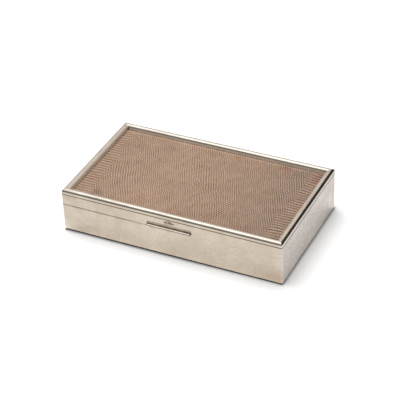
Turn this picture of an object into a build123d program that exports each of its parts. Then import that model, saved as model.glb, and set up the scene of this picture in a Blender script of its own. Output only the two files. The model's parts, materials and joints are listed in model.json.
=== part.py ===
from build123d import *
from math import cos, radians, sin
import os

# Games box: a silver-plated case with a hinged lid, lined with wood and divided inside.
# Millimetres, +Z up, +X along the length, front at -Y, origin at the centre of the underside.

# Outline of the case and the lid
box_length = 200.0
box_depth = 116.0
seam_height = 26.2
seam_gap = 0.1
lid_side_height = 10.1
corner_radius = 1.5
band_wall = 1.0
band_edge_round = 0.15
frame_joint_round = 0.3
flange_thickness = 0.8

# Base
felt_thickness = 1.2
felt_inset = 0.15
board_thickness = 3.0
floor_lining_thickness = 0.8

# Wooden lining
liner_wall = 4.5
hinge_rail_wall = 6.5
glue_line = 0.05
drop_in_fit = 0.1

# Compartments
card_well_width = 66.0
pencil_trough_width = 8.3
divider_wall = 2.5
divider_drop = 2.0
divider_edge_round = 0.5
housing_depth = 1.0
finger_notch_radius = 9.0

# Top frame, widths measured inward from the outer face of the lid
bead_inset = 0.1
bead_width = 6.0
bead_height = 4.1
bead_foot = 1.7
inner_ledge_width = 0.5
inner_ledge_height = 0.9

# Leather panel in the lid
panel_board_thickness = 3.0
panel_card_thickness = 0.7
skin_thickness = 0.7
lid_lining_thickness = 0.7

# Thumb bar and the ornament above it
thumb_bar_length = 40.0
thumb_bar_lift = 1.0
thumb_bar_reach = 1.5
thumb_bar_edge = 0.6
thumb_bar_edge_round = 0.3
thumb_bar_lip = 1.05
thumb_bar_lip_width = 0.7
thumb_bar_rise = 3.3
thumb_bar_root = 0.15
ornament_lift = 0.3
ornament_thickness = 0.5
petal_radius = 0.95
petal_offset = 1.05
drop_radius = 0.75
drop_offset = 3.7
stem_width = 0.5
boss_radius = 0.8
boss_height = 0.35

# Hinge
hinge_length = 150.0
hinge_setback = 0.4
knuckle_count = 7
knuckle_radius = 1.5
knuckle_gap = 0.2
knuckle_clearance = 0.3
pin_radius = 0.6
pin_fit = 0.05
leaf_width = 6.0
leaf_thickness = 0.8
leaf_end_fit = 0.3
bevel_angle = 52.0

# Screws
leaf_screw_count = 4
leaf_screw_length = 5.0
leaf_screw_radius = 0.7
leaf_screw_head_radius = 1.3
base_screw_length = 10.0
base_screw_radius = 1.0
base_screw_head_radius = 2.0
screw_slot_width = 0.35
screw_slot_depth = 0.25
screw_hole_fit = 0.05

# Levels above the surface that the box rests on
board_top = felt_thickness + board_thickness
floor_top = board_top + floor_lining_thickness
case_rim = seam_height - seam_gap / 2
lid_rim = seam_height + seam_gap / 2
frame_under = seam_height + lid_side_height
flange_under = frame_under - flange_thickness
panel_board_under = flange_under - panel_board_thickness
lid_lining_under = panel_board_under - lid_lining_thickness
card_top = flange_under + panel_card_thickness
skin_top = card_top + skin_thickness
divider_top = case_rim - divider_drop

# Faces of the walls
least_radius = 0.05
inner_length = box_length - 2 * band_wall
inner_depth = box_depth - 2 * band_wall
inner_radius = max(corner_radius - band_wall, least_radius)
liner_length = inner_length - 2 * glue_line
liner_depth = inner_depth - 2 * glue_line
liner_radius = max(inner_radius - glue_line, least_radius)
felt_radius = max(corner_radius - felt_inset, least_radius)
frame_width = bead_inset + bead_width + inner_ledge_width
bead_radius = max(corner_radius - bead_inset, least_radius)
panel_length = box_length - 2 * frame_width
panel_depth = box_depth - 2 * frame_width
cavity_right = liner_length / 2 - liner_wall
cavity_front = -liner_depth / 2 + liner_wall
cavity_back = liner_depth / 2 - hinge_rail_wall
cavity_length = 2 * cavity_right
cavity_depth = cavity_back - cavity_front
cavity_middle = (cavity_front + cavity_back) / 2

# Dividers
trough_divider_front = cavity_front + pencil_trough_width
trough_divider_back = trough_divider_front + divider_wall
cross_divider_x = cavity_right - card_well_width - divider_wall / 2
well_middle = (trough_divider_back + cavity_back) / 2
housing_width = divider_wall + 2 * drop_in_fit

# Hinge line and what turns about it
hinge_y = box_depth / 2 - hinge_setback
knuckle_pitch = hinge_length / knuckle_count
cove_radius = knuckle_radius + knuckle_clearance
leaf_screw_y = hinge_y - (leaf_width + cove_radius) / 2
leaf_screw_pitch = hinge_length / leaf_screw_count
case_side = -1
lid_side = 1

# Names and corners of the four sides, in the order that a quarter turn about Z brings them round
side_names = ["front", "right", "back", "left"]
quarter_turn = 90
past_the_face = 5.0


def block(left, right, front, back, low, high):
    """A plain block between six faces."""
    middle = Pos((left + right) / 2, (front + back) / 2, (low + high) / 2)
    return middle * Box(right - left, back - front, high - low)


def rounded_block(length, depth, radius, low, high):
    """A block about the Z axis with rounded upright corners."""
    return Pos(0, 0, low) * extrude(RectangleRounded(length, depth, radius), high - low)


def rod_along_x(radius, length, x, y, z):
    return Pos(x, y, z) * Rot(0, 90, 0) * Cylinder(radius, length)


def rectangle_corners(right, front, back):
    """Corners of a plan rectangle that is symmetrical left to right, from the front left one."""
    return [(-right, front), (right, front), (right, back), (-right, back)]


def mitre_block(side, outer, inner, low, high):
    """The block whose plan joins one side of the outer rectangle to the same side of the inner one."""
    first = side_names.index(side)
    second = (first + 1) % len(side_names)
    plan = Polyline(outer[first], outer[second], inner[second], inner[first], close=True)
    return Pos(0, 0, low) * extrude(make_face(plan), high - low)


def knuckle_centres(first):
    """Middles along X of every second knuckle, from the one given."""
    return [(index + 0.5) * knuckle_pitch - hinge_length / 2 for index in range(first, knuckle_count, 2)]


def leaf_screw_centres():
    return [(index + 0.5) * leaf_screw_pitch - hinge_length / 2 for index in range(leaf_screw_count)]


def hinge_cove():
    """The round groove along the seam in which the knuckles turn."""
    return rod_along_x(cove_radius, hinge_length + 2 * leaf_end_fit, 0, hinge_y, seam_height)


def back_bevel(side):
    """The wedge off the back edge at the seam, from the hinge line outward: the lid stops on it."""
    slope = radians(bevel_angle)
    tip = (past_the_face * cos(slope), side * past_the_face * sin(slope))
    outline = make_face(Polyline((0, 0), (past_the_face, 0), tip, close=True))
    return Pos(0, hinge_y, seam_height) * extrude(Plane.YZ * outline, box_length / 2, both=True)


def screw_blank(length, shank_radius, head_radius, fit=0.0):
    """A countersunk screw down from its head at the origin, swelled all round by the fit."""
    head_depth = head_radius - shank_radius
    head = Pos(0, 0, -head_depth / 2) * Cone(shank_radius + fit, head_radius + fit, head_depth)
    shank = Pos(0, 0, -(length + fit) / 2) * Cylinder(shank_radius + fit, length + fit)
    return head + shank


def slotted_screw(length, shank_radius, head_radius):
    half_slot = screw_slot_width / 2
    slot = block(-head_radius, head_radius, -half_slot, half_slot, -screw_slot_depth, 0)
    return screw_blank(length, shank_radius, head_radius) - slot


def leaf_screw_places(side):
    """Heads in the leaf's seam face, points into the wood."""
    rim = seam_height + side * seam_gap / 2
    turn = Rot(180, 0, 0) if side == lid_side else Rot(0, 0, 0)
    return [Pos(x, leaf_screw_y, rim) * turn for x in leaf_screw_centres()]


def base_screw_places():
    """Heads in the underside of the base board, points up into the middles of the liners."""
    front_y = -liner_depth / 2 + liner_wall / 2
    back_y = liner_depth / 2 - hinge_rail_wall / 2
    side_x = liner_length / 2 - liner_wall / 2
    spread = box_length / 4
    plan = [(-side_x, 0), (side_x, 0)]
    for y in (front_y, back_y):
        plan += [(-spread, y), (spread, y)]
    return [Pos(x, y, felt_thickness) * Rot(180, 0, 0) for x, y in plan]


def make_leaf_screws(side):
    screw = slotted_screw(leaf_screw_length, leaf_screw_radius, leaf_screw_head_radius)
    return Compound(children=[place * screw for place in leaf_screw_places(side)])


def make_base_screws():
    screw = slotted_screw(base_screw_length, base_screw_radius, base_screw_head_radius)
    return Compound(children=[place * screw for place in base_screw_places()])


def drill_leaf_screws(piece, side):
    hole = screw_blank(leaf_screw_length, leaf_screw_radius, leaf_screw_head_radius, screw_hole_fit)
    for place in leaf_screw_places(side):
        piece -= place * hole
    return piece


def drill_base_screws(piece):
    hole = screw_blank(base_screw_length, base_screw_radius, base_screw_head_radius, screw_hole_fit)
    for place in base_screw_places():
        piece -= place * hole
    return piece


def make_base_felt():
    length = box_length - 2 * felt_inset
    depth = box_depth - 2 * felt_inset
    return rounded_block(length, depth, felt_radius, 0, felt_thickness)


def make_base_board():
    board = rounded_block(liner_length, liner_depth, liner_radius, felt_thickness, board_top)
    return drill_base_screws(board)


def make_case_band():
    """The metal sides of the case: one band, notched for the knuckles and bevelled along the back."""
    band = rounded_block(box_length, box_depth, corner_radius, felt_thickness, case_rim)
    band = fillet(band.edges().group_by(Axis.Z)[-1], band_edge_round)
    band = fillet(band.edges().group_by(Axis.Z)[0], band_edge_round)
    band -= rounded_block(inner_length, inner_depth, inner_radius, 0, seam_height)
    return band - hinge_cove() - back_bevel(case_side)


def liner_strip(side, low, high):
    """One mitred strip of the wooden lining, between two levels."""
    outer = rectangle_corners(liner_length / 2, -liner_depth / 2, liner_depth / 2)
    inner = rectangle_corners(cavity_right, cavity_front, cavity_back)
    ring = rounded_block(liner_length, liner_depth, liner_radius, low, high)
    return ring & mitre_block(side, outer, inner, low, high)


def seat_hinge_leaf(piece, side):
    """Lets one leaf of the hinge into a back liner."""
    rim = seam_height + side * seam_gap / 2
    bed = seam_height + side * (seam_gap / 2 + leaf_thickness)
    reach = hinge_length / 2 + leaf_end_fit
    front = hinge_y - leaf_width - drop_in_fit
    piece -= block(-reach, reach, front, box_depth / 2, min(rim, bed), max(rim, bed))
    return drill_leaf_screws(piece - hinge_cove(), side)


def divider_housings():
    """The stopped grooves that hold the ends of the dividers."""
    top = divider_top + drop_in_fit
    front = trough_divider_front - drop_in_fit
    reach = cavity_right + housing_depth
    grooves = [block(-reach, reach, front, front + housing_width, board_top, top)]
    for x in (-cross_divider_x, cross_divider_x):
        left = x - housing_width / 2
        start = trough_divider_back - housing_depth
        end = cavity_back + housing_depth
        grooves.append(block(left, left + housing_width, start, end, board_top, top))
    return grooves


def make_case_liner(side):
    strip = drill_base_screws(liner_strip(side, board_top, case_rim))
    for groove in divider_housings():
        strip -= groove
    return seat_hinge_leaf(strip, case_side) if side == "back" else strip


def make_lid_liner(side):
    strip = liner_strip(side, lid_rim, panel_board_under)
    return seat_hinge_leaf(strip, lid_side) if side == "back" else strip


def cavity_sheet(low, high):
    """A soft sheet that drops in between the liners."""
    right = cavity_right - drop_in_fit
    return block(-right, right, cavity_front + drop_in_fit, cavity_back - drop_in_fit, low, high)


def make_long_divider():
    """Parts the pencil trough from the wells; its ends and the cross dividers sit in grooves."""
    reach = cavity_right + housing_depth - drop_in_fit
    divider = block(-reach, reach, trough_divider_front, trough_divider_back, floor_top, divider_top)
    divider = fillet(divider.edges().group_by(Axis.Z)[-1].filter_by(Axis.X), divider_edge_round)
    for groove in divider_housings()[1:]:
        divider -= groove
    return divider


def make_cross_divider(x):
    """Parts two wells, with a round notch for the fingers in the middle of its top edge."""
    front = trough_divider_back - housing_depth + drop_in_fit
    back = cavity_back + housing_depth - drop_in_fit
    divider = block(x - divider_wall / 2, x + divider_wall / 2, front, back, floor_top, divider_top)
    divider = fillet(divider.edges().group_by(Axis.Z)[-1].filter_by(Axis.Y), divider_edge_round)
    return divider - rod_along_x(finger_notch_radius, 2 * divider_wall, x, well_middle, divider_top)


def make_lid_band():
    """The metal sides of the lid with the flange under the frame, open in the middle for the panel."""
    band = rounded_block(box_length, box_depth, corner_radius, lid_rim, frame_under)
    band = fillet(band.edges().group_by(Axis.Z)[-1], frame_joint_round)
    band = fillet(band.edges().group_by(Axis.Z)[0], band_edge_round)
    band -= rounded_block(inner_length, inner_depth, inner_radius, seam_height, flange_under)
    band -= Pos(0, 0, frame_under) * Box(panel_length, panel_depth, 2 * past_the_face)
    return band - hinge_cove() - back_bevel(lid_side)


def moulding_section():
    """Section of the top frame, inward from the lid's side and up: a bead, then a low inner ledge."""
    middle = bead_inset + bead_width / 2
    crown = Pos(middle, bead_foot) * Ellipse(bead_width / 2, bead_height - bead_foot)
    crown &= Pos(middle, bead_height / 2) * Rectangle(bead_width, bead_height)
    foot = Pos(middle, bead_foot / 2) * Rectangle(bead_width, bead_foot)
    step_middle = frame_width - inner_ledge_width / 2
    step = Pos(step_middle, inner_ledge_height / 2) * Rectangle(inner_ledge_width, inner_ledge_height)
    return crown + foot + step


def frame_outline():
    """The block that the frame is cut from, with a rounded edge where it meets the lid's side."""
    length = box_length - 2 * bead_inset
    depth = box_depth - 2 * bead_inset
    outline = rounded_block(length, depth, bead_radius, frame_under, frame_under + bead_height)
    return fillet(outline.edges().group_by(Axis.Z)[0], frame_joint_round)


def make_frame_moulding(side):
    """One mitred length of the top frame."""
    along_length = side in ("front", "back")
    run = box_length if along_length else box_depth
    half_span = box_depth / 2 if along_length else box_length / 2
    bar = Pos(0, -half_span, frame_under) * extrude(Plane.YZ * moulding_section(), run / 2, both=True)
    outer = rectangle_corners(box_length / 2, -box_depth / 2, box_depth / 2)
    inner = rectangle_corners(panel_length / 2, -panel_depth / 2, panel_depth / 2)
    mitres = mitre_block(side, outer, inner, frame_under, frame_under + bead_height)
    turned = Rot(0, 0, quarter_turn * side_names.index(side)) * bar
    return turned & mitres & frame_outline()


def panel_sheet(low, high):
    """A sheet that drops into the opening of the top frame."""
    right = panel_length / 2 - drop_in_fit
    back = panel_depth / 2 - drop_in_fit
    return block(-right, right, -back, back, low, high)


def make_panel_board():
    return rounded_block(liner_length, liner_depth, liner_radius, panel_board_under, flange_under)


def make_thumb_bar():
    """A sloping lip a little above the lid's lower front edge, with a hollow over it for the thumb."""
    underside = lid_rim + thumb_bar_lift
    edge_top = underside + thumb_bar_edge
    lip_top = underside + thumb_bar_lip
    bar_top = underside + thumb_bar_rise
    lip_inside = thumb_bar_reach - thumb_bar_lip_width
    halfway = sin(radians(45))
    hollow_out = lip_inside - (lip_inside - thumb_bar_root) * halfway
    hollow_up = bar_top - (bar_top - lip_top) * halfway
    foot = Polyline((thumb_bar_root, bar_top), (0, bar_top), (0, underside), (thumb_bar_reach, underside))
    lip = Polyline((thumb_bar_reach, underside), (thumb_bar_reach, edge_top), (lip_inside, lip_top))
    hollow = ThreePointArc((lip_inside, lip_top), (hollow_out, hollow_up), (thumb_bar_root, bar_top))
    section = make_face([foot, lip, hollow])
    outermost = section.vertices().group_by(Axis.X)[-1]
    section = fillet(outermost.sort_by(Axis.Y)[-1], thumb_bar_edge_round)
    front_face = Plane(origin=(0, -box_depth / 2, 0), x_dir=(0, -1, 0), z_dir=(-1, 0, 0))
    return extrude(front_face * section, thumb_bar_length / 2, both=True)


def make_ornament():
    """A small applied flower with a drop at each side, above the thumb bar."""
    flower = Rectangle(2 * drop_offset, stem_width)
    for quarter in range(len(side_names)):
        flower += Rot(0, 0, quarter_turn * quarter) * Pos(petal_offset, 0) * Circle(petal_radius)
    for x in (-drop_offset, drop_offset):
        flower += Pos(x, 0) * Circle(drop_radius)
    bar_top = lid_rim + thumb_bar_lift + thumb_bar_rise
    level = bar_top + ornament_lift + petal_offset + petal_radius
    front_face = Plane(origin=(0, -box_depth / 2, level), x_dir=(1, 0, 0), z_dir=(0, -1, 0))
    plate = extrude(front_face * flower, ornament_thickness)
    return plate + extrude(front_face * Circle(boss_radius), ornament_thickness + boss_height)


def make_hinge_leaf(side):
    """A strip of the hinge with its knuckles, cut back where the other strip's knuckles turn."""
    first = 0 if side == case_side else 1
    rim = seam_height + side * seam_gap / 2
    bed = seam_height + side * (seam_gap / 2 + leaf_thickness)
    reach = hinge_length / 2
    leaf = block(-reach, reach, hinge_y - leaf_width, hinge_y, min(rim, bed), max(rim, bed))
    for x in knuckle_centres(1 - first):
        leaf -= rod_along_x(cove_radius, knuckle_pitch + knuckle_gap, x, hinge_y, seam_height)
    for x in knuckle_centres(first):
        leaf += rod_along_x(knuckle_radius, knuckle_pitch - knuckle_gap, x, hinge_y, seam_height)
    leaf -= rod_along_x(pin_radius + pin_fit, hinge_length, 0, hinge_y, seam_height)
    return drill_leaf_screws(leaf, side)


def make_hinge_pin():
    return rod_along_x(pin_radius, hinge_length, 0, hinge_y, seam_height)


nodes = {
    "base_felt": make_base_felt(),
    "base_board": make_base_board(),
    "base_screws": make_base_screws(),
    "case_band": make_case_band(),
    "floor_lining": cavity_sheet(board_top, floor_top),
    "long_divider": make_long_divider(),
    "cross_divider_left": make_cross_divider(-cross_divider_x),
    "cross_divider_right": make_cross_divider(cross_divider_x),
    "hinge_leaf_lower": make_hinge_leaf(case_side),
    "hinge_leaf_upper": make_hinge_leaf(lid_side),
    "hinge_pin": make_hinge_pin(),
    "hinge_screws_lower": make_leaf_screws(case_side),
    "hinge_screws_upper": make_leaf_screws(lid_side),
    "lid_band": make_lid_band(),
    "panel_board": make_panel_board(),
    "panel_card": panel_sheet(flange_under, card_top),
    "lizard_panel": panel_sheet(card_top, skin_top),
    "lid_lining": cavity_sheet(lid_lining_under, panel_board_under),
    "thumb_bar": make_thumb_bar(),
    "thumb_ornament": make_ornament(),
}
for side in side_names:
    nodes["case_liner_" + side] = make_case_liner(side)
    nodes["lid_liner_" + side] = make_lid_liner(side)
    nodes["frame_" + side] = make_frame_moulding(side)

os.makedirs("parts", exist_ok=True)
for name, shape in nodes.items():
    export_step(shape, "parts/" + name + ".step")
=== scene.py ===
import json
import math

import bpy
import numpy as np
from mathutils import Matrix, Vector


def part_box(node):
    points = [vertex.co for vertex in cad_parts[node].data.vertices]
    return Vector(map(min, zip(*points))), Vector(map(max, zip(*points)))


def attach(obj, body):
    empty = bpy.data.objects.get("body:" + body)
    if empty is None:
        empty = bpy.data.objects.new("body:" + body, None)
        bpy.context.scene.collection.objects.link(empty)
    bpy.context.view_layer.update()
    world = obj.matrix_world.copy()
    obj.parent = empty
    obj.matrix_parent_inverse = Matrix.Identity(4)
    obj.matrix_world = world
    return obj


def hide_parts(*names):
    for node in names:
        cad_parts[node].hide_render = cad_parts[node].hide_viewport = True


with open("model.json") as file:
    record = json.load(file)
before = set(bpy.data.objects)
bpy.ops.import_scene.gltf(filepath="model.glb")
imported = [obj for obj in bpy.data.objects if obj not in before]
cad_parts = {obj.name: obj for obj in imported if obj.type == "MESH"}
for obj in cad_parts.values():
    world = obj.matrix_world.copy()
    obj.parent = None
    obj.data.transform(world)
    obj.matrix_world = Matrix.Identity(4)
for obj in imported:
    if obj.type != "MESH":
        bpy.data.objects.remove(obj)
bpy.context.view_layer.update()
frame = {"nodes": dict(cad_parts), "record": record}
nodes = frame["nodes"]

mm = 0.001


def corners(name):
    """Lowest and highest corner of a CAD node, in millimetres to a hundredth."""
    return [[round(value / mm, 2) for value in corner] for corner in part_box(name)]


# Places on the box, in millimetres
(box_left, box_front, felt_top), (box_right, box_back, case_rim) = corners("case_band")
(_, _, lid_rim), (_, _, lid_top) = corners("lid_band")
(_, bar_front, bar_under), (bar_end, _, bar_top) = corners("thumb_bar")
(_, _, ornament_under), (_, _, ornament_top) = corners("thumb_ornament")
seam = (case_rim + lid_rim) / 2
ornament_middle = (ornament_under + ornament_top) / 2

# The camera stands where the photograph's perspective puts it, in metres and degrees
camera_azimuth = 26.688
camera_elevation = 35.134
camera_roll = -2.530
camera_distance = 1.2694
camera_aim_right = -0.0003
camera_aim_up = 0.0149
camera_aim_height = 0.0006
camera_lens = 133.88
camera_sensor = 36.0

# A large lamp above the box, in metres and watts
lamp_size = (1.1, 1.1)
lamp_power = 14.5
lamp_place = (-0.3, 0.1, 1.28)
lamp_aim = (0, 0, 0)

# Dark card for the right side's reflection, in millimetres: left, right, back, low, high
flag_place = (95, 291, 120, 40, 268)
flag_colour = (1, 0.95, 0.9, 1.0)
flag_strength = 0.06

# What gloss mirrors, by direction from -1 to 1: two directions and the brightness before and after them
wall_by_y = (-0.3, 0.5, 0.29, 0.96)
wall_by_z = (0.0, 0.5, 0.84, 1.0)
wall_at_left = (-0.7, -0.35, 0.9, 1.0)
wall_at_right = (0.0, 0.7, 1.0, 0.7)
ceiling_to_back = (0.34, 0.76, 1.0, 0.0)
ceiling_from_front = (-0.5, 0.0, 0.0, 1.0)
ceiling_by_z = (0.35, 0.7, 0.0, 1.0)
ceiling_at_left = (-0.455, -0.415, 0.42, 1.0)
ceiling_colour = (2.05, 2.2, 2.35, 1.0)
white = (1.0, 1.0, 1.0, 1.0)
even_light = (0.48, 0.48, 0.48, 1.0)

# Fades are two places in millimetres, from the middle or a named side, and the shares before and after them

# The paper, half as wide as this in metres: its lightness, and how much lighter it looks than it lights
paper_half = 3.0
paper_tone = (0.3, 0.7, 0.79, 0.81)
paper_raised = 0.36

# Paper that gloss sees nearly as light as the camera does: round the middle, and outward from the box's sides
mirrored_round = (150, 450, 0.55, 0.0)
mirrored_outward = (6, 30, 0.95, 0.0)

# Painted shadow at the foot of the box's shadow, outward from its sides and along it, from its left and right
# sides
front_foot_outward = (0.6, 2.8, 1.0, 0.0)
front_foot_along = (-20, 100, 0.5, 0.22)
front_foot_at_left = (-0.4, 1.0, 0.0, 1.0)
side_foot_outward = (0.2, 1.7, 0.65, 0.0)
side_foot_at_right = (0, 1, 0.0, 1.0)

# How much lighter gloss sees the paper close to the box: outward from its sides, and from its front
lift_outward = (1, 8, 1.0, 0.0)
lift_at_front = (0, 3, 0.36, 0.12)

# Noise patterns: scale per metre, detail, and where they differ from the usual, roughness and distortion
cloud_noise = (34.0, 4.0, 0.6, 0.4)
mottle_noise = (140.0, 3.0)
wave_noise = (34.0, 2.0, 0.5, 0.4)
brass_noise = (260.0, 4.0)
brushed_noise = (45.0, 3.0, 0.6, 0.8)
nap_noise = (2600.0, 2.0, 0.7)
blotch_noise = (70.0, 4.0, 0.6)
skin_pore_noise = (2400.0, 2.0)
fibre_noise = (900.0, 2.0)

# Noise on a stretched place: the stretch, its turn in degrees and the noise
polish_lines = ((9.0, 420.0, 420.0), (0, 0, 24), (5.0, 2.0))
scratch_lines = ((260.0, 14.0, 900.0), (0, 38, 12), (3.0, 2.0))

# Silver: its colours in front and, cooler and lighter as painted light, on the box's right side, then darker
# low at the front's right end, painted light along the seam, and scratched
silver_light = (0.645, 0.558, 0.467, 1.0)
silver_dark = (0.562, 0.478, 0.39, 1.0)
silver_light_right = (0.665, 0.605, 0.555, 1.0)
silver_dark_right = (0.6, 0.54, 0.49, 1.0)
silver_low_dark = (0.52, 0.42, 0.33, 1.0)
silver_painted_light = (0.8, 0.72, 0.62, 1.0)
silver_scratch = (0.8, 0.74, 0.66, 1.0)

# Silver's surface: shares of two noises in the tarnish, their ranges, and heights of relief in metres
tarnish_cloud = 0.7
tarnish_mottle = 0.3
tarnish_range = (0.36, 0.64)
mottle_range = (0.3, 0.7)
mottle_rougher = 0.06
scratch_range = (0.62, 0.7)
scratch_strength = 0.16
wave_height = 0.00025
polish_height = 0.000006

# Roughness of the silver pieces where they are smoothest
band_roughness = 0.24
frame_roughness = 0.09
thumb_roughness = 0.16
ornament_roughness = 0.2

# Colours of painted shade and of painted light, how metallic the painted light leaves the metal and how much
# rougher
painted_shade_brown = (0.085, 0.06, 0.04, 1.0)
painted_shade_red_brown = (0.13, 0.065, 0.024, 1.0)
painted_light_pale = (0.82, 0.76, 0.68, 1.0)
painted_highlight_warm = (1.0, 0.88, 0.76, 1.0)
painted_light_metal = 0.6
painted_highlight_metal = 0.25
painted_light_rougher = 0.3

# How the painted shade breaks up with the mottle: two values of the noise, and the shares of the painted
# shade
painted_shade_breaks = (0.3, 0.6, 0.75, 1.0)

# Fades of the cooler silver with its painted light, from the box's right side, and of the darker, browner
# silver low at the front's right end
cool_at_right = (-1.5, -0.5, 0.0, 1.0)
low_dark_along = (-30, -5, 0.0, 1.0)
low_dark_up = (6, 20, 1.0, 0.0)
low_dark_at_corner = (-0.7, -0.1, 0.9, 0.0)

# Lines along an edge, of painted shade in the joints, along the seam, at the band's foot and under the bar,
# and of painted light on the seam's right part: reach in millimetres and strength, which is full over this
# share of the reach
line_core = 0.3
felt_line = (0.5, 0.8)
seam_line = (0.85, 0.6)
painted_light_seam_line = (0.8, 0.62)
under_bar_line = (0.7, 0.5)
band_top_line = (0.7, 0.75)
frame_foot_line = (0.6, 0.75)

# Where the seam's painted shade ends and its painted light begins along the front, and how far below it the
# bar's line of painted shadow is
seam_painted_shade_along = (-45, -12, 1.0, 0.0)
seam_painted_light_along = (-20, 15, 0.0, 1.0)
under_bar_drop = 0.3

# Painted shade in an oval round the ornament: how far above its middle, half sizes, and fade by squared
# distance
halo_lift = 0.05
halo_half_width = 5.6
halo_half_height = 3.1
halo_fade = (0.3, 1.0, 0.5, 0.0)

# Painted shade above the thumb bar, from its top, and within its length, from its end
above_bar_to = (-0.25, 1.35, 0.3, 0.0)
above_bar_from = (-0.95, -0.45, 0.0, 1.0)
bar_within = (-3, 0, 1.0, 0.0)

# Thin painted shade along the front's left end and along the right side's far end, and how near to that side
# they lie
front_painted_shade_along = (-100, -35, 0.12, 0.0)
front_only = (0.1, 0.3, 1.0, 0.0)
side_painted_shade_along = (10, 45, 0.0, 0.17)
side_only = (-0.7, -0.3, 0.0, 1.0)

# Painted darker reflection on the frame's outer back and left sides, and painted shade on its back ledge,
# from the box's sides
back_painted_reflection = (-3.2, -2.2, 0.0, 0.55)
left_painted_reflection = (1.5, 2.8, 0.33, 0.0)
ledge_from = (-7.2, -6.8, 0.0, 1.0)
ledge_to = (-6.4, -6.1, 0.35, 0.0)

# Painted light on the frame's inner step, from the box's sides
step_front_and_back = (-6.1, -5.8, 0.8, 0.0)
step_right = (-5.0, -4.2, 1.0, 0.0)
step_left_inner = (6.6, 7.1, 0.1, 1.0)
step_left_outer = (5.7, 6.1, 0.0, 1.0)

# The thumb bar: painted highlight on its lip and painted shade behind it, from its front, top, end and
# underside
lip_depth = (0.7, 0.85, 1.0, 0.0)
hollow_behind = (0.7, 0.9, 0.0, 1.0)
hollow_up = (-1.75, 0.55, 1.0, 0.35)
hollow_along = (-14, 12, 0.74, 0.96)
bar_end_painted_shade = (-1.2, -0.3, 0.0, 0.97)
bar_under_painted_shade = (0.35, 0.65, 0.95, 0.0)

# Painted shade on the ornament: on its sides, from the box's front, and in a ring round its middle
ornament_sides = (-0.48, -0.42, 0.1, 0.97)
ring_from = (0.8, 0.95, 0.0, 1.0)
ring_to = (1.15, 1.5, 0.9, 0.0)

# Brass: colours, ranges of its noise and of its roughness, and height of relief in metres
brass_light = (0.62, 0.42, 0.17, 1.0)
brass_dark = (0.34, 0.2, 0.08, 1.0)
brass_range = (0.35, 0.68)
brass_roughness = (0.3, 0.7, 0.3, 0.5)
brass_relief = 0.00005

# Wood: stretches of its grain and pores across the grain and along it, noises, colours and relief
grain_across = 60.0
grain_along = 3.0
grain_noise = (6.0, 5.0, 0.6, 1.2)
pores_across = 900.0
pores_along = 40.0
pore_noise = (1.0, 2.0)
grain_range = (0.35, 0.65)
pore_range = (0.56, 0.66, 0.0, 0.5)
pore_depth = 0.6
wood_roughness = (0.3, 0.7, 0.3, 0.42)
wood_relief = 0.00008
walnut_light = (0.2, 0.09, 0.04, 1.0)
walnut_dark = (0.09, 0.035, 0.016, 1.0)
ply_light = (0.5, 0.36, 0.22, 1.0)
ply_dark = (0.38, 0.25, 0.14, 1.0)
pore_colour = (0.03, 0.014, 0.008, 1.0)

# Felt, suede and card: colours, ranges of the brushed patches and the nap, sheen and relief
suede_light = (0.14, 0.05, 0.035, 1.0)
suede_dark = (0.08, 0.026, 0.02, 1.0)
felt_light = (0.016, 0.013, 0.012, 1.0)
felt_dark = (0.008, 0.007, 0.006, 1.0)
card_light = (0.35, 0.3, 0.25, 1.0)
card_dark = (0.3, 0.25, 0.2, 1.0)
brushed_range = (0.35, 0.65)
nap_range = (0.4, 0.62, 0.0, 0.45)
nap_roughness = 0.95
nap_sheen = 0.35
nap_sheen_roughness = 0.5
nap_relief = 0.0002

# Lizard skin, in millimetres: a mesh of small round scales, with rows of larger ones at its two ends
skin_step = 0.45
middle_pitch = (2.07, 2.19)
end_pitch = (2.15, 3.4)
end_zone = 82.5
end_zone_blend = 3
end_zone_slant = 0.04
scale_relief = 0.16

# Shapes of the scales: share of the dome in a round one, and in the rows depth and sharpness of the grooves
dome_share = 0.45
row_groove_share = 0.45
row_groove_power = 0.8

# Ripples are sums of plane waves, each about as long as stated, within these shares of that length
ripple_count = 7
ripple_lengths = (0.7, 1.5)

# Ripples of the skin's rows, end zones, grooves, lightness and creases: height, seed and length
row_ripples_x = [(0.9, 3, 60), (0.28, 5, 14), (0.07, 13, 5)]
row_ripples_y = [(1.1, 4, 70), (0.26, 6, 16), (0.07, 14, 5)]
end_zone_ripples = [(1.6, 7, 18)]
crisp_ripples = [(0.25, 8, 13)]
light_ripples = [(0.018, 9, 26), (0.016, 10, 9)]
crease_ripples = [(-0.4, 12, 60)]

# The rows bow along a hyperbola: its slope, its middle along X and its roundness in square millimetres
bow_slope = 0.035
bow_middle = 2
bow_roundness = 60

# Lightness of the scales, partly their own tone and partly painted sheen on the crowns and painted shade in
# the grooves: mean, height that has it, rise with height, and spread from scale to scale
shade_mean = 0.9
shade_mean_height = 0.42
shade_rise = 1.66
shade_spread = 0.16
shade_least = 0.15

# How much more or less crisp the grooves are: everywhere, in the end zones, and at the right
crispness = 0.85
end_zone_softer = 0.3
right_crisper = 0.3
right_crisper_span = (45, 80)

# Powers of each scale's lightness for red, green and blue: grooves are browner than crowns
skin_shade_powers = (0.82, 1.08, 1.46)

# How the skin darkens along X: places and shares of its full colour
skin_fade_places = [-93, -80, -70, -30, 10, 45, 70, 84, 93]
skin_fade_shares = [0.88, 0.9, 0.93, 1.0, 0.93, 0.88, 0.8, 0.76, 0.72]

# Rim of the skin: how the scales sink there, its painted light at the back and right and painted shade all
# round, and over what stretch from its edge
skin_edge_span = (-0.1, 0.4)
skin_edge_drop = 0.05
skin_back_painted_light = 0.36
skin_back_span = (1.0, 4.5)
skin_right_painted_light = 0.5
skin_right_span = (0.3, 1.3)
skin_rim_painted_shade = 0.12
skin_rim_span = (0.2, 1.4)

# Soft dark creases that run across the skin: place along X, half width and strength
skin_creases = [(46, 3.2, 0.055), (-48, 2.0, 0.03), (3, 1.6, 0.02)]

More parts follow.
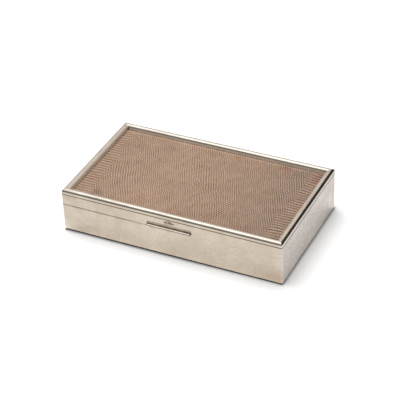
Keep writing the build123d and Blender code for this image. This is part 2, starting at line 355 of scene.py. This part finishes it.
# Soft spots on the skin: share of the reach by which their rim wanders, its seed, and share at full strength
spot_wander = 0.25
spot_seed = 11
spot_core = 0.1

# Reddish stains on the skin: centre, reach and strength
skin_stains = [
    (60, 46, 7, 0.8),
    (14, 47, 5, 0.7),
    (89, 40, 7, 0.9),
    (-88, 31, 5, 0.5),
    (-4, -46, 6, 0.6),
    (24, -43, 9, 0.35),
    (54, -45, 6, 0.7),
    (66, -46, 8, 0.4),
    (-36, -42, 9, 0.3),
    (-56, -43, 7, 0.35),
    (-86, -28, 6, 0.4),
]

# Redness of the end zones, in their grooves, and how much less it is on a crown
end_zone_red = 0.12
end_zone_crown_less_red = 0.1

# Brown smudges on the skin: centre, reach and strength
skin_smudges = [
    (-73, -45, 7, 0.3),
    (-46, 34, 10, 0.12),
    (-70, 30, 6, 0.12),
    (90, -46, 6, 0.15),
    (92, 48, 5, 0.3),
    (6, -49, 10, 0.1),
]

# Colours of the skin before its shade, range of its blotches, roughness by height, and relief in metres
skin_light = (0.4, 0.269, 0.189, 1.0)
skin_dark = (0.376, 0.25, 0.171, 1.0)
skin_red = (0.36, 0.185, 0.125, 1.0)
blotch_range = (0.36, 0.64)
skin_roughness = (0.1, 0.9, 0.62, 0.42)
skin_pore_relief = 0.00003

# Two numbers that scatter a lattice's rows and columns, and one that spreads them
scatter_row = 12.9898
scatter_column = 78.233
scatter_spread = 43758.5453

# Places of the colour sockets of a Mix node: its two inputs and its result
mix_first, mix_second, mix_result = 6, 7, 2


def make_camera():
    """The photograph's camera, aimed a little off the box's middle."""
    azimuth, elevation, roll = (math.radians(a) for a in (camera_azimuth, camera_elevation, camera_roll))
    reach = math.cos(elevation)
    level = Vector((math.cos(azimuth), math.sin(azimuth), 0))
    back = Vector((math.sin(azimuth) * reach, -math.cos(azimuth) * reach, math.sin(elevation)))
    upright = back.cross(level)
    right = level * math.cos(roll) + upright * math.sin(roll)
    up = upright * math.cos(roll) - level * math.sin(roll)
    aim = right * camera_aim_right + up * camera_aim_up + Vector((0, 0, camera_aim_height))
    data = bpy.data.cameras.new("camera")
    data.sensor_width = camera_sensor
    data.lens = camera_lens
    camera = bpy.data.objects.new("camera", data)
    place = Matrix((right, up, back)).transposed().to_4x4()
    place.translation = aim + back * camera_distance
    camera.matrix_world = place
    bpy.context.scene.collection.objects.link(camera)
    bpy.context.scene.camera = camera


class Graph:
    """A node tree, with short calls that add a node, wire its inputs and return its output."""

    def __init__(self, tree):
        tree.nodes.clear()
        self.tree = tree

    def put(self, socket, value):
        if isinstance(value, bpy.types.NodeSocket):
            self.tree.links.new(value, socket)
        else:
            socket.default_value = value

    def add(self, kind, inputs=None, output=0, **settings):
        node = self.tree.nodes.new("ShaderNode" + kind)
        for key, value in settings.items():
            setattr(node, key, value)
        for key, value in (inputs or {}).items():
            self.put(node.inputs[key], value)
        return node.outputs[output] if node.outputs else None

    def place(self):
        """The place on a piece, in metres from the origin that all pieces share."""
        return self.add("TexCoord", output="Object")

    def ray(self, kind):
        """1 where the light path's last ray is of this kind, and 0 elsewhere."""
        return self.add("LightPath", output=f"Is {kind} Ray")

    def math(self, operation, a, b=0.0, c=0.0):
        return self.add("Math", {0: a, 1: b, 2: c}, operation=operation)

    def times(self, first, *others):
        """All the values multiplied."""
        for other in others:
            first = self.math("MULTIPLY", first, other)
        return first

    def most(self, first, *others):
        """The greatest of the values."""
        for other in others:
            first = self.math("MAXIMUM", first, other)
        return first

    def steps(self, value, low, high, to_low=0.0, to_high=1.0):
        """Eases from to_low to to_high as the value goes from low to high."""
        inputs = {"Value": value, "From Min": low, "From Max": high, "To Min": to_low, "To Max": to_high}
        return self.add("MapRange", inputs, interpolation_type="SMOOTHSTEP")

    def fade(self, value, fading, origin=0.0):
        """Share of a fade, whose two places are in millimetres from the origin, at a value in metres."""
        low, high, before, after = fading
        return self.steps(value, (origin + low) * mm, (origin + high) * mm, before, after)

    def line(self, value, level, kind):
        """Share of a kind of line that runs at a level in millimetres, easing to nothing at its reach."""
        reach, strength = kind
        away = self.math("ABSOLUTE", self.math("SUBTRACT", value, level * mm))
        return self.steps(away, line_core * reach * mm, reach * mm, strength, 0.0)

    def noise(self, vector, scale, detail, roughness=0.55, distortion=0.0):
        inputs = {"Vector": vector, "Scale": scale, "Detail": detail}
        inputs.update({"Roughness": roughness, "Distortion": distortion})
        return self.add("TexNoise", inputs)

    def stretched_noise(self, vector, scale, turn, noise):
        """Noise on the vector scaled along its three axes and turned, in degrees."""
        rotation = tuple(math.radians(angle) for angle in turn)
        stretched = self.add("Mapping", {"Vector": vector, "Scale": scale, "Rotation": rotation})
        return self.noise(stretched, *noise)

    def mix(self, factor, a, b, blend="MIX"):
        node = self.tree.nodes.new("ShaderNodeMix")
        node.data_type = "RGBA"
        node.blend_type = blend
        self.put(node.inputs["Factor"], factor)
        self.put(node.inputs[mix_first], a)
        self.put(node.inputs[mix_second], b)
        return node.outputs[mix_result]

    def grey(self, value):
        """A colour with the value as its red, green and blue."""
        return self.add("CombineColor", {0: value, 1: value, 2: value})

    def split(self, vector):
        """The vector's X, Y and Z."""
        return self.add("SeparateXYZ", {0: vector}).node.outputs

    def bump(self, height, distance, normal=None):
        inputs = {"Height": height, "Distance": distance}
        if normal is not None:
            inputs["Normal"] = normal
        return self.add("Bump", inputs)


def empty_material(name):
    """A new material, and the graph of its nodes with nothing in it."""
    material = bpy.data.materials.new(name)
    material.use_nodes = True
    return material, Graph(material.node_tree)


def principled(name, build):
    """A material whose Principled inputs are what build returns for its graph."""
    material, graph = empty_material(name)
    shader = graph.add("BsdfPrincipled", build(graph))
    graph.add("OutputMaterial", {"Surface": shader})
    return material


def silver_colour(graph, parts, cloud, mottle):
    """Cloudy tarnish, cooler and lighter as painted light on the box's right side, and darker and browner low
    at the front's right end.
    """
    x, _, z = parts
    tarnish = graph.math("ADD", graph.times(cloud, tarnish_cloud), graph.times(mottle, tarnish_mottle))
    tarnish = graph.steps(tarnish, *tarnish_range)
    base = graph.mix(tarnish, silver_light, silver_dark)
    cool = graph.mix(tarnish, silver_light_right, silver_dark_right)
    base = graph.mix(graph.fade(x, cool_at_right, box_right), base, cool)
    # Darker, browner silver low at the front's right end
    low_dark = graph.times(graph.fade(x, low_dark_along, box_right), graph.fade(z, low_dark_up))
    low_dark = graph.times(low_dark, graph.fade(x, low_dark_at_corner, box_right))
    return graph.mix(low_dark, base, silver_low_dark)


def silver_nodes(
    roughness, painted_shade, painted_light=None, painted_shade_tone=painted_shade_brown, painted_light_tone=painted_light_pale, metal=painted_light_metal
):
    """Old silver plate: cloudy tarnish, faint polishing lines, a slightly wavy surface and painted shade in
    corners.

    The painted shade and painted light functions give their shares from 0 to 1, from the graph and the
    place's three parts.
    """

    def build(graph):
        place = graph.place()
        parts = graph.split(place)
        mottle = graph.noise(place, *mottle_noise)
        base = silver_colour(graph, parts, graph.noise(place, *cloud_noise), mottle)
        rough = graph.steps(mottle, *mottle_range, roughness, roughness + mottle_rougher)
        metallic = 1.0
        # Painted light: paler, less metallic and rougher metal where the function gives it
        if painted_light:
            painted_light_share = painted_light(graph, parts)
            metallic = graph.steps(painted_light_share, 0.0, 1.0, 1.0, metal)
            base = graph.mix(painted_light_share, base, painted_light_tone)
            rough = graph.math("ADD", rough, graph.times(painted_light_share, painted_light_rougher))
        x, _, z = parts
        # Painted light along the seam's right part, which hides its shade
        painted_light_seam = graph.times(graph.line(z, seam, painted_light_seam_line), graph.fade(x, seam_painted_light_along))
        base = graph.mix(painted_light_seam, base, silver_painted_light)
        # Painted shade, broken up by the mottle
        share = graph.times(painted_shade(graph, parts), graph.steps(mottle, *painted_shade_breaks))
        base = graph.mix(share, base, painted_shade_tone)
        scratches = graph.steps(graph.stretched_noise(place, *scratch_lines), *scratch_range)
        base = graph.mix(graph.times(scratches, scratch_strength), base, silver_scratch)
        waves = graph.bump(graph.noise(place, *wave_noise), wave_height)
        normal = graph.bump(graph.stretched_noise(place, *polish_lines), polish_height, waves)
        return {"Base Color": base, "Metallic": metallic, "Roughness": rough, "Normal": normal}

    return build


def band_painted_shade(graph, parts):
    """Painted shade along the joints and the band's foot, round the ornament and the thumb bar, and thinly on
    the front and on the right side's far end.
    """
    x, y, z = parts
    seam_painted_shade = graph.times(graph.line(z, seam, seam_line), graph.fade(x, seam_painted_shade_along))
    lines = graph.most(graph.line(z, lid_top, band_top_line), graph.line(z, felt_top, felt_line), seam_painted_shade)
    front = graph.most(ornament_halo(graph, x, z), thumb_bar_painted_shade(graph, x, z))
    front = graph.most(front, graph.fade(x, front_painted_shade_along))
    front = graph.times(front, graph.fade(y, front_only, box_front))
    side = graph.times(graph.fade(y, side_painted_shade_along), graph.fade(x, side_only, box_right))
    return graph.most(lines, front, side)


def ornament_halo(graph, x, z):
    """Painted shade in an oval round the ornament."""
    across = graph.math("DIVIDE", x, halo_half_width * mm)
    up = graph.math("SUBTRACT", z, (ornament_middle + halo_lift) * mm)
    up = graph.math("DIVIDE", up, halo_half_height * mm)
    away = graph.math("ADD", graph.math("POWER", across, 2.0), graph.math("POWER", up, 2.0))
    return graph.steps(away, *halo_fade)


def thumb_bar_painted_shade(graph, x, z):
    """Painted shade on the lid just above the thumb bar, and a line of painted shadow under it along the
    seam.
    """
    above = graph.times(graph.fade(z, above_bar_to, bar_top), graph.fade(z, above_bar_from, bar_top))
    below = graph.line(z, seam - under_bar_drop, under_bar_line)
    return graph.times(graph.most(above, below), graph.fade(graph.math("ABSOLUTE", x), bar_within, bar_end))


def frame_painted_shade(graph, parts):
    """Painted shade in the joint under the frame and on its back ledge, and painted darker reflection on its
    back and left sides.
    """
    x, y, z = parts
    joint = graph.line(z, lid_top, frame_foot_line)
    ledge = graph.times(graph.fade(y, ledge_from, box_back), graph.fade(y, ledge_to, box_back))
    sides = graph.most(graph.fade(y, back_painted_reflection, box_back), graph.fade(x, left_painted_reflection, box_left))
    return graph.most(joint, ledge, sides)


def frame_painted_light(graph, parts):
    """Painted light on the frame's inner step, a paler, less metallic patch, widest at the right and least at
    the left.
    """
    x, y, _ = parts
    front_and_back = graph.fade(graph.math("ABSOLUTE", y), step_front_and_back, box_back)
    left = graph.times(graph.fade(x, step_left_inner, box_left), graph.fade(x, step_left_outer, box_left))
    return graph.times(graph.fade(x, step_right, box_right), left, front_and_back)


def thumb_painted_highlight(graph, parts):
    """Painted highlight on the lip."""
    _, y, _ = parts
    return graph.fade(y, lip_depth, bar_front)


def thumb_painted_shade(graph, parts):
    """Painted shade behind the lip, thickest low down and to the right, at the bar's ends, and along its
    underside.
    """
    x, y, z = parts
    hollow = graph.times(graph.fade(y, hollow_behind, bar_front), graph.fade(z, hollow_up, bar_top))
    hollow = graph.times(hollow, graph.fade(x, hollow_along))
    end = graph.fade(graph.math("ABSOLUTE", x), bar_end_painted_shade, bar_end)
    return graph.most(hollow, end, graph.fade(z, bar_under_painted_shade, bar_under))


def ornament_painted_shade(graph, parts):
    """Painted shade on the ornament's sides and round its boss; only its front faces are bright."""
    x, y, z = parts
    away = graph.math("POWER", graph.math("SUBTRACT", z, ornament_middle * mm), 2.0)
    away = graph.math("SQRT", graph.math("ADD", away, graph.math("POWER", x, 2.0)))
    ring = graph.times(graph.fade(away, ring_from), graph.fade(away, ring_to))
    return graph.most(graph.fade(y, ornament_sides, box_front), ring)


def brass_nodes(graph):
    mottle = graph.noise(graph.place(), *brass_noise)
    base = graph.mix(graph.steps(mottle, *brass_range), brass_light, brass_dark)
    rough = graph.steps(mottle, *brass_roughness)
    normal = graph.bump(mottle, brass_relief)
    return {"Base Color": base, "Metallic": 1.0, "Roughness": rough, "Normal": normal}


def wood_nodes(light, dark, along_y=False):
    """Straight grain along X, or along Y where the piece runs that way."""

    def grained(along, across):
        return (across, along, across) if along_y else (along, across, across)

    def build(graph):
        place = graph.place()
        grain = graph.stretched_noise(place, grained(grain_along, grain_across), (0, 0, 0), grain_noise)
        pores = graph.stretched_noise(place, grained(pores_along, pores_across), (0, 0, 0), pore_noise)
        base = graph.mix(graph.steps(grain, *grain_range), light, dark)
        base = graph.mix(graph.steps(pores, *pore_range), base, pore_colour)
        height = graph.math("ADD", grain, graph.times(pores, pore_depth))
        rough = graph.steps(grain, *wood_roughness)
        return {"Base Color": base, "Roughness": rough, "Normal": graph.bump(height, wood_relief)}

    return build


def nap_nodes(light, dark):
    """Felt, suede or card: a soft nap with brushed patches."""

    def build(graph):
        place = graph.place()
        brushed = graph.noise(place, *brushed_noise)
        nap = graph.noise(place, *nap_noise)
        base = graph.mix(graph.steps(brushed, *brushed_range), light, dark)
        base = graph.mix(graph.steps(nap, *nap_range), base, dark)
        return {
            "Base Color": base,
            "Roughness": nap_roughness,
            "Sheen Weight": nap_sheen,
            "Sheen Roughness": nap_sheen_roughness,
            "Normal": graph.bump(nap, nap_relief),
        }

    return build


def ripples(x, y, seed, length):
    """A smooth random field about zero, made of seeded plane waves about as long as length."""
    draw = np.random.default_rng(seed)
    total = np.zeros_like(x)
    for _ in range(ripple_count):
        heading, phase = draw.uniform(0, 2 * math.pi, 2)
        wave = 2 * math.pi / (length * draw.uniform(*ripple_lengths))
        total += np.sin(wave * (x * math.cos(heading) + y * math.sin(heading)) + phase)
    return total / math.sqrt(ripple_count)


def rippled(value, x, y, kinds):
    """A value with ripples added, each a height, a seed and a length."""
    for height, seed, length in kinds:
        value = value + height * ripples(x, y, seed, length)
    return value


def eased(value, low, high):
    """Eases from 0 to 1 as the value goes from low to high."""
    part = np.clip((value - low) / (high - low), 0, 1)
    return part * part * (3 - 2 * part)


def round_scales(x, y, pitch):
    """Small domed scales set in diamonds: height from 0 in a groove to 1 on a crown, and a draw for each."""
    first = x / pitch[0] + y / (2 * pitch[1])
    second = x / pitch[0] - y / (2 * pitch[1])
    dome = 0.5 + 0.25 * (np.cos(2 * math.pi * first) + np.cos(2 * math.pi * second))
    cut = (np.cos(math.pi * first) * np.cos(math.pi * second)) ** 2
    return dome_share * dome + (1 - dome_share) * cut, cell_draw(np.round(first), np.round(second))


def row_scales(x, y, pitch):
    """Wider scales in rows along X, with a deep groove between the rows and a shallow one within them."""
    row = np.round(y / pitch[1])
    along = x / pitch[0] + 0.5 * (row % 2)
    between = np.cos(math.pi * y / pitch[1]) ** 2
    within = np.cos(math.pi * along) ** 2
    height = between**row_groove_power * (row_groove_share + (1 - row_groove_share) * within)
    return height, cell_draw(row, np.round(along))


def cell_draw(row, column):
    """A fixed draw from 0 to 1 for each cell of a lattice."""
    draw = np.sin(row * scatter_row + column * scatter_column) * scatter_spread
    return draw - np.floor(draw)


def spots(x, y, places):
    """Share of soft round spots at places on the skin, each a centre, a reach and a strength."""
    total = np.zeros_like(x)
    for spot_x, spot_y, reach, strength in places:
        away = rippled(np.hypot(x - spot_x, y - spot_y), x, y, [(spot_wander * reach, spot_seed, reach)])
        total = np.maximum(total, strength * (1 - eased(away, spot_core * reach, reach)))
    return total


def skin_lightness(x, y):
    """Broad light and dark on the skin: ripples, creases, smudges and its darkening along X."""
    broad = rippled(1, x, y, light_ripples)
    for crease_x, reach, strength in skin_creases:
        away = np.abs(rippled(x - crease_x, x, y, crease_ripples))
        broad -= strength * (1 - eased(away, 0, reach))
    return broad * (np.interp(x, skin_fade_places, skin_fade_shares) * (1 - spots(x, y, skin_smudges)))


def skin_pattern(x, y):
    """Height, shade in red, green and blue, and redness of the skin, at places in millimetres."""
    bow = bow_slope * np.sqrt((x - bow_middle) ** 2 + bow_roundness)
    bent_x = rippled(x, x, y, row_ripples_x)
    bent_y = rippled(y, x, y, row_ripples_y) + bow
    middle, middle_draw = round_scales(bent_x, bent_y, middle_pitch)
    end, end_draw = row_scales(bent_x, bent_y, end_pitch)
    border = rippled(np.abs(x), x, y, end_zone_ripples) - end_zone_slant * y
    share = eased(border, end_zone - end_zone_blend, end_zone + end_zone_blend)
    height = middle + share * (end - middle)
    crisp = rippled(crispness, x, y, crisp_ripples) * (1 - end_zone_softer * share)
    crisp = crisp * (1 + right_crisper * eased(x, *right_crisper_span))
    fine = shade_mean + crisp * shade_rise * (height - shade_mean_height)
    fine += shade_spread * (middle_draw + share * (end_draw - middle_draw) - 0.5)
    shade = np.clip(fine, shade_least, None)[..., None] ** skin_shade_powers * skin_lightness(x, y)[..., None]
    red = np.maximum(spots(x, y, skin_stains), share * (end_zone_red - end_zone_crown_less_red * height))
    return height, shade, red


def closed_sheet(name, x, y, top, bottom):
    """A mesh with a grid of heights on top, walls round its rim and a flat underside, in metres."""
    rows, columns = x.shape
    count = rows * columns
    index = np.arange(count).reshape(rows, columns)
    rim = np.concatenate([index[0, :-1], index[:-1, -1], index[-1, :0:-1], index[:0:-1, 0]])
    upper = np.stack([x, y, top], -1).reshape(-1, 3)
    lower = upper[rim]
    lower[:, 2] = bottom
    middle = [[x.mean(), y.mean(), bottom]]
    quads = np.stack([index[:-1, :-1], index[:-1, 1:], index[1:, 1:], index[1:, :-1]], -1).reshape(-1, 4)
    ahead = np.roll(rim, -1)
    under = count + np.arange(len(rim))
    under_ahead = np.roll(under, -1)
    walls = np.stack([rim, under, under_ahead, ahead], -1)
    base = np.stack([under, np.full_like(under, count + len(rim)), under_ahead], -1)
    points = np.concatenate([upper, lower, middle])
    mesh = bpy.data.meshes.new(name)
    mesh.from_pydata(points.tolist(), [], quads.tolist() + walls.tolist() + base.tolist())
    smooth = np.zeros(len(mesh.polygons), bool)
    smooth[: len(quads)] = True
    mesh.polygons.foreach_set("use_smooth", smooth)
    return mesh


def paint(mesh, name, values):
    """Stores three values for each point of a closed sheet's grid as a colour of the mesh."""
    colours = np.ones((len(mesh.vertices), 4), np.float32)
    colours[: values.size // 3, :3] = values.reshape(-1, 3)
    mesh.color_attributes.new(name, "FLOAT_COLOR", "POINT").data.foreach_set("color", colours.ravel())


def make_skin(material):
    """The leather panel with its scales in relief, and their colours as two attributes of the mesh."""
    low, high = (np.array(corner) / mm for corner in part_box("lizard_panel"))
    columns = round((high[0] - low[0]) / skin_step) + 1
    rows = round((high[1] - low[1]) / skin_step) + 1
    x, y = np.meshgrid(np.linspace(low[0], high[0], columns), np.linspace(low[1], high[1], rows))
    height, shade, red = skin_pattern(x, y)
    inset = np.minimum(high[0] - np.abs(x), high[1] - np.abs(y))
    edge = eased(inset, *skin_edge_span)
    # Painted light along the back and right rims, and painted shade all round the rim
    rim = 1 + skin_back_painted_light * (1 - eased(high[1] - y, *skin_back_span))
    rim *= 1 - skin_rim_painted_shade * (1 - eased(inset, *skin_rim_span))
    rim *= 1 + skin_right_painted_light * (1 - eased(high[0] - x, *skin_right_span))
    top = high[2] - scale_relief * (1 - height * edge) - skin_edge_drop * (1 - edge)
    mesh = closed_sheet("skin", x * mm, y * mm, top * mm, low[2] * mm)
    mesh.materials.append(material)
    paint(mesh, "pattern", np.stack([height, red, red], -1))
    paint(mesh, "shade", shade * rim[..., None])
    skin = bpy.data.objects.new("skin", mesh)
    bpy.context.scene.collection.objects.link(skin)
    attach(skin, "lid")
    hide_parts("lizard_panel")


def skin_nodes(graph):
    """Glazed lizard skin: pale crowns, darker grooves, faint blotches and a few reddish stains."""
    place = graph.place()
    pattern = graph.add("Attribute", attribute_name="pattern")
    height, red, _ = graph.add("SeparateColor", {0: pattern}).node.outputs
    blotch = graph.noise(place, *blotch_noise)
    base = graph.mix(graph.steps(blotch, *blotch_range), skin_light, skin_dark)
    base = graph.mix(red, base, skin_red)
    base = graph.mix(1.0, base, graph.add("Attribute", attribute_name="shade"), "MULTIPLY")
    rough = graph.steps(height, *skin_roughness)
    pores = graph.bump(graph.noise(place, *skin_pore_noise), skin_pore_relief)
    return {"Base Color": base, "Roughness": rough, "Normal": pores}


def rectangle(left, right, low, high):
    """The four corners of a rectangle, in order."""
    return [(left, low), (right, low), (right, high), (left, high)]


def flat_sheet(name, points):
    """A flat four-sided sheet with its corners at points in metres."""
    mesh = bpy.data.meshes.new(name)
    mesh.from_pydata(points, [], [(0, 1, 2, 3)])
    sheet = bpy.data.objects.new(name, mesh)
    bpy.context.scene.collection.objects.link(sheet)
    return sheet


def paper_lightness(graph):
    """Lightness of the paper, which looks white to the camera but throws less light than white on the box.

    Near the box, gloss sees it nearly as light as the camera does, and lighter still right beside the box.
    The camera sees it darker there, a painted shadow at the foot of the box's shadow.
    """
    place = graph.place()
    x, y, _ = graph.split(place)
    camera, glossy = graph.ray("Camera"), graph.ray("Glossy")
    beside = graph.math("SUBTRACT", graph.math("ABSOLUTE", x), box_right * mm)
    before = graph.math("SUBTRACT", graph.math("ABSOLUTE", y), box_back * mm)
    off = graph.most(beside, before)
    away = graph.add("VectorMath", {0: place}, "Value", operation="LENGTH")
    near = graph.most(graph.fade(away, mirrored_round), graph.fade(off, mirrored_outward))
    seen = graph.most(camera, graph.ray("Transmission"), graph.times(glossy, near))
    tone = graph.steps(graph.noise(place, *fibre_noise), *paper_tone)
    plain = graph.math("MULTIPLY_ADD", seen, paper_raised, tone)
    front_foot = graph.times(graph.fade(off, front_foot_outward), graph.fade(x, front_foot_along))
    front_foot = graph.times(front_foot, graph.fade(x, front_foot_at_left, box_left))
    side_foot = graph.fade(off, side_foot_outward)
    foot = graph.mix(graph.fade(x, side_foot_at_right, box_right), front_foot, side_foot)
    # Painted shadow that only the camera sees
    darker = graph.times(foot, camera)
    lighter = graph.times(graph.fade(off, lift_outward), graph.fade(y, lift_at_front, box_front), glossy)
    return graph.times(plain, graph.math("ADD", graph.math("SUBTRACT", 1.0, darker), lighter))


def make_floor():
    """White paper that the box stands on."""
    outline = rectangle(-paper_half, paper_half, -paper_half, paper_half)
    floor = flat_sheet("floor", [(x, y, 0) for x, y in outline])
    material, graph = empty_material("paper")
    paper = graph.add("BsdfDiffuse", {"Color": graph.grey(paper_lightness(graph))})
    graph.add("OutputMaterial", {"Surface": paper})
    floor.data.materials.append(material)


def make_world():
    """A studio: even light on everything, and for gloss a bright ceiling and a darker side at the camera."""
    world = bpy.data.worlds.new("studio")
    bpy.context.scene.world = world
    world.use_nodes = True
    graph = Graph(world.node_tree)
    x, y, z = graph.split(graph.add("TexCoord", output="Generated"))
    wall = graph.times(graph.steps(y, *wall_by_y), graph.steps(z, *wall_by_z))
    wall = graph.times(wall, graph.steps(x, *wall_at_left), graph.steps(x, *wall_at_right))
    ceiling = graph.times(graph.steps(y, *ceiling_to_back), graph.steps(y, *ceiling_from_front))
    ceiling = graph.times(ceiling, graph.steps(z, *ceiling_by_z), graph.steps(x, *ceiling_at_left))
    walls = graph.mix(1.0, white, graph.grey(wall), "MULTIPLY")
    mirrored = graph.mix(ceiling, walls, ceiling_colour)
    straight = graph.math("LESS_THAN", graph.add("LightPath", output="Diffuse Depth"), 0.5)
    lit = graph.mix(graph.times(graph.ray("Glossy"), straight), even_light, mirrored)
    seen = graph.mix(graph.ray("Camera"), lit, white)
    graph.add("OutputWorld", {"Surface": graph.add("Background", {"Color": seen, "Strength": 1.0})})


def make_lamp():
    """A large soft lamp above the box, which gloss doesn't mirror."""
    data = bpy.data.lights.new("key", "AREA")
    data.shape = "RECTANGLE"
    data.size, data.size_y = lamp_size
    data.energy = lamp_power
    lamp = bpy.data.objects.new("key", data)
    lamp.location = lamp_place
    lamp.rotation_mode = "QUATERNION"
    lamp.rotation_quaternion = (Vector(lamp_aim) - Vector(lamp_place)).to_track_quat("-Z", "Y")
    lamp.visible_glossy = False
    bpy.context.scene.collection.objects.link(lamp)


def make_flag():
    """A dark card behind the box to the right, which only the polished metal mirrors."""
    left, right, back, low, high = (value * mm for value in flag_place)
    flag = flat_sheet("flag", [(x, back, z) for x, z in rectangle(left, right, low, high)])
    flag.visible_camera = False
    flag.visible_diffuse = False
    flag.visible_shadow = False
    material, graph = empty_material("dark_card")
    glow = graph.add("Emission", {"Color": flag_colour, "Strength": flag_strength})
    graph.add("OutputMaterial", {"Surface": glow})
    flag.data.materials.append(material)


def finish_nodes():
    """Gives every CAD node its material: its slot's, or its own where it has one."""
    leather = principled("leather", skin_nodes)
    make_skin(leather)
    slots = {
        "silver_plate": principled("silver", silver_nodes(band_roughness, band_painted_shade)),
        "brass_fittings": principled("brass", brass_nodes),
        "liner_wood": principled("walnut_x", wood_nodes(walnut_light, walnut_dark)),
        "board_wood": principled("ply", wood_nodes(ply_light, ply_dark)),
        "suede_lining": principled("suede", nap_nodes(suede_light, suede_dark)),
        "base_felt": principled("felt", nap_nodes(felt_light, felt_dark)),
        "card": principled("card", nap_nodes(card_light, card_dark)),
        "lizard_leather": leather,
    }
    polished = principled("polished", silver_nodes(frame_roughness, frame_painted_shade, frame_painted_light))
    thumb_nodes = silver_nodes(
        thumb_roughness, thumb_painted_shade, thumb_painted_highlight, painted_shade_red_brown, painted_highlight_warm, painted_highlight_metal
    )
    walnut_y = principled("walnut_y", wood_nodes(walnut_light, walnut_dark, along_y=True))
    own = {
        "thumb_bar": principled("thumb", thumb_nodes),
        "thumb_ornament": principled("applied", silver_nodes(ornament_roughness, ornament_painted_shade)),
    }
    for side in ("front", "back", "left", "right"):
        own["frame_" + side] = polished
    for side in ("left", "right"):
        for piece in ("case_liner_", "lid_liner_", "cross_divider_"):
            own[piece + side] = walnut_y
    for part in frame["record"]["subparts"]:
        nodes[part["node"]].data.materials[0] = own.get(part["node"], slots[part["material_slot"]])


make_camera()
make_floor()
make_world()
make_flag()
make_lamp()
finish_nodes()

bpy.context.scene.view_settings.view_transform = "Standard"
